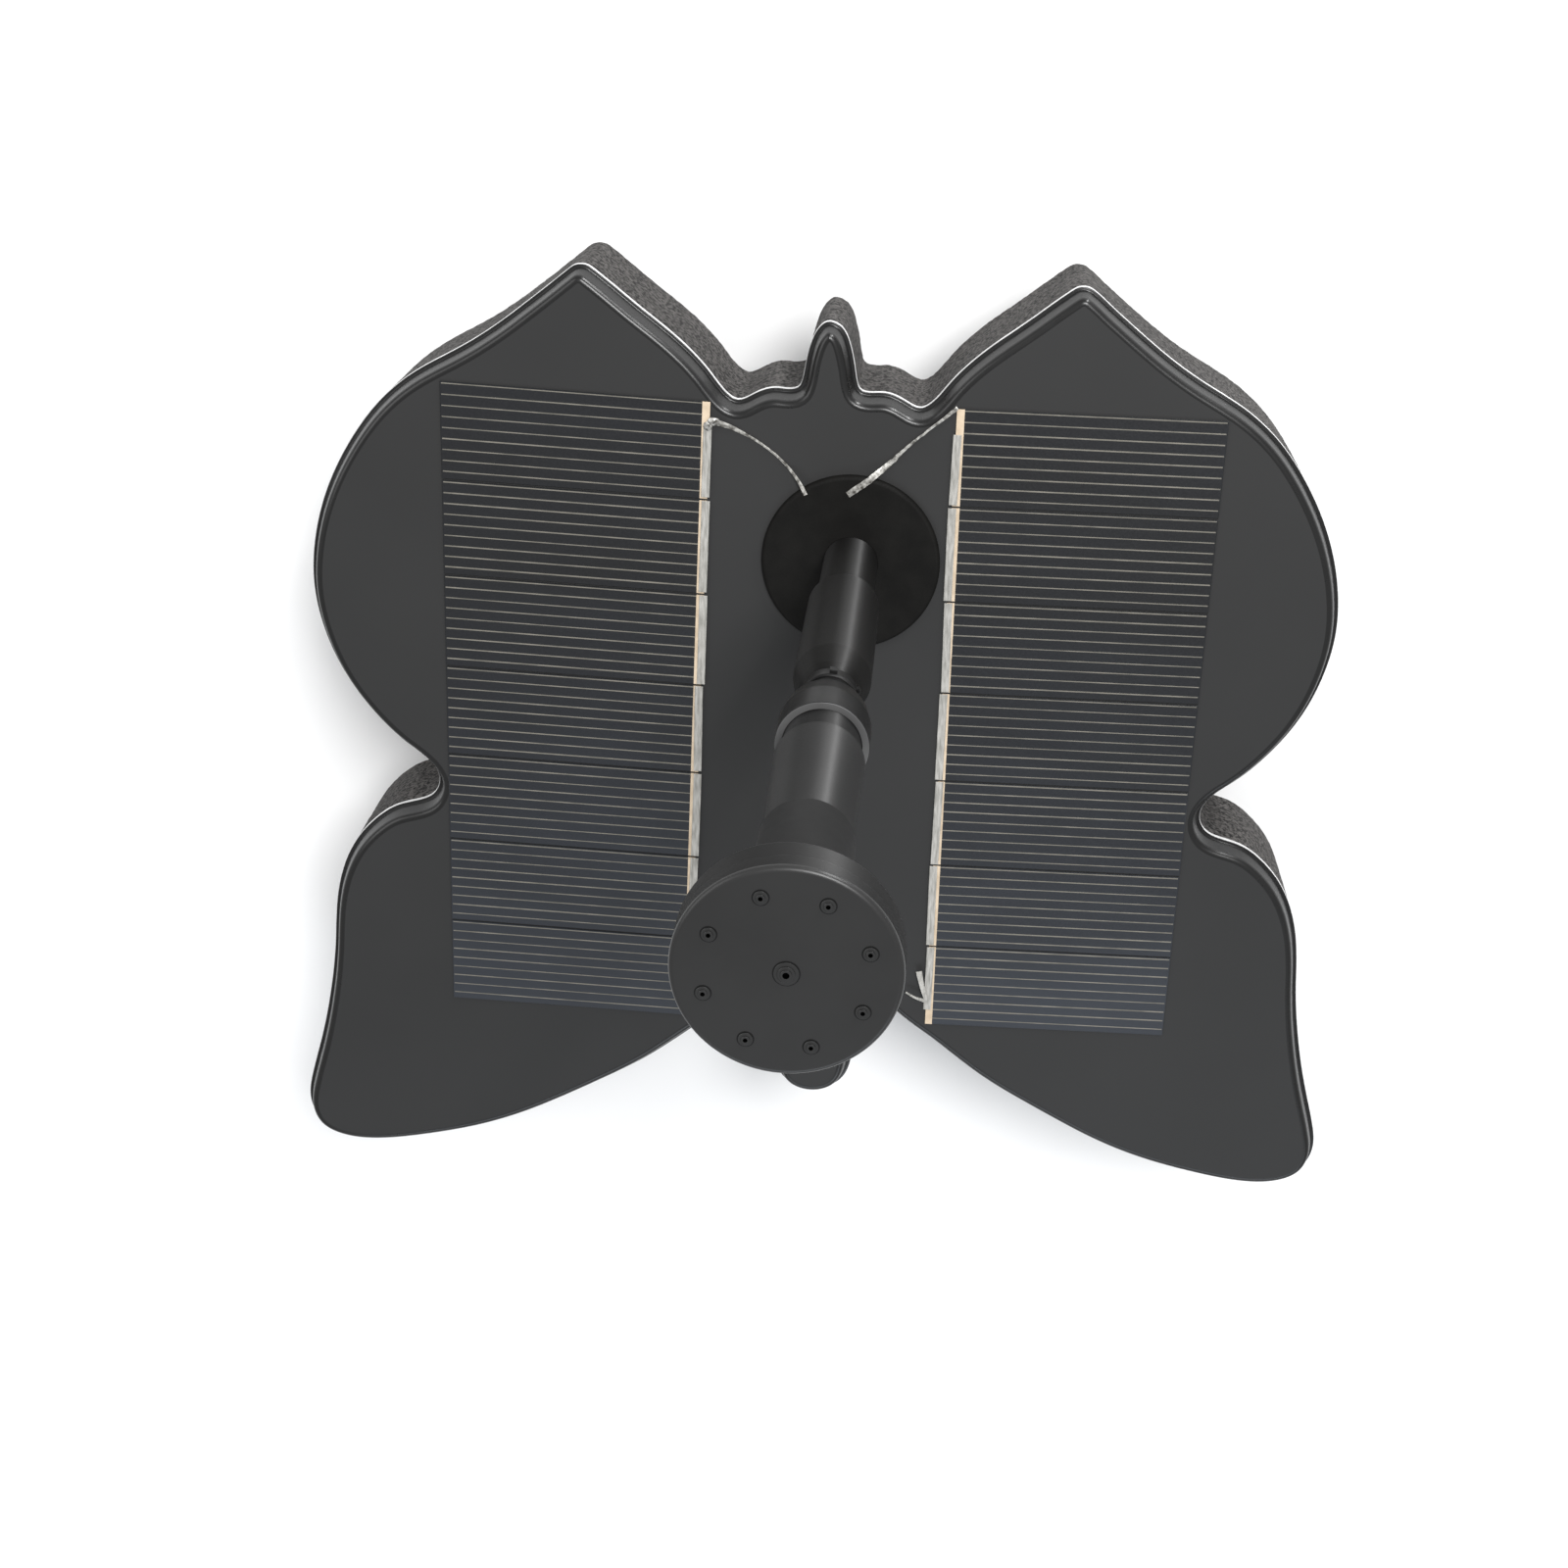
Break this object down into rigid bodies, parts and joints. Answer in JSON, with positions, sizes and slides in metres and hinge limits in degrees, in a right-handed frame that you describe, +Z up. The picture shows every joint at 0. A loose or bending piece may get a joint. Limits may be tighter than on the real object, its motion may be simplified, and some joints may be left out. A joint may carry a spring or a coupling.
{
  "type": "solar fountain pump",
  "caption": "Butterfly-shaped floating solar fountain: foam float with solar cells on top, submersible impeller pump below, and a riser with a round multi-jet spray head.",
  "frame": {"origin": "on the surface the pump stands on, under the centre of the butterfly's outline", "axes": "+X towards the butterfly's right wing, +Y towards its head, +Z up along the riser"},
  "size_m": [0.2248, 0.1954, 0.2218],
  "materials": {
    "tray": "satin moulded ABS with glossy rounded rim",
    "board": "glass-epoxy laminate",
    "cell": "blue-black monocrystalline silicon",
    "ribbon": "tinned copper ribbon",
    "foam": "grainy closed-cell foam",
    "black_plastic": "moulded black ABS",
    "grey_plastic": "satin dark grey ABS",
    "rubber": "black rubber",
    "housing": "moulded black ABS",
    "steel": "stainless steel",
    "iron": "silicon-steel laminations",
    "copper": "enamelled copper wire",
    "ferrite": "ferrite magnet",
    "ceramic": "ground alumina ceramic",
    "impeller": "white acetal",
    "resin": "black epoxy",
    "sponge": "open-cell filter foam"
  },
  "bodies": {
    "float": {"panel_tray": "tray", "float_foam": "foam", "circuit_board": "board", "cells_left": "cell", "busbar_left": "ribbon", "cells_right": "cell", "busbar_right": "ribbon", "jumper_left": "ribbon", "jumper_right": "ribbon", "hub_flange": "black_plastic", "outlet_spigot": "black_plastic", "hose_connector": "rubber", "riser_collar": "grey_plastic", "inner_pipe": "grey_plastic", "rotor_shaft": "ceramic", "rear_bush": "rubber", "front_bush": "rubber", "cover_seal": "rubber", "driver_board": "board", "resin_fill": "resin", "stator_core": "iron", "stator_coils": "copper", "pump_housing": "housing", "volute_cover": "housing", "cover_screws": "steel", "mount_screws": "steel", "float_screws": "steel", "power_lead": "rubber", "lead_gland": "rubber", "mount_plate": "housing", "filter_sponge": "sponge"},
    "rotor": {"rotor_magnet": "ferrite", "impeller": "impeller"},
    "riser": {"riser_sleeve": "grey_plastic"},
    "spray_head": {"spray_head_base": "grey_plastic", "spray_head_face": "grey_plastic", "head_seal": "rubber"},
    "strainer": {"strainer_base": "housing"}
  },
  "joints": [
    {"name": "rotor_spin", "type": "hinge", "parent": "float", "child": "rotor", "pos_m": [0, 0.03, 0.022], "axis": [0, 1, 0], "continuous": true},
    {"name": "riser_pull", "type": "slide", "parent": "float", "child": "riser", "axis": [0, 0, 1], "range_m": [0, 0.02]},
    {"name": "head_turn", "type": "hinge", "parent": "riser", "child": "spray_head", "pos_m": [0.0052, 0.0436, 0.194], "axis": [0, 0, 1], "continuous": true},
    {"name": "strainer_drop", "type": "slide", "parent": "float", "child": "strainer", "axis": [0, 0, -1], "range_m": [0, 0.03]}
  ]
}
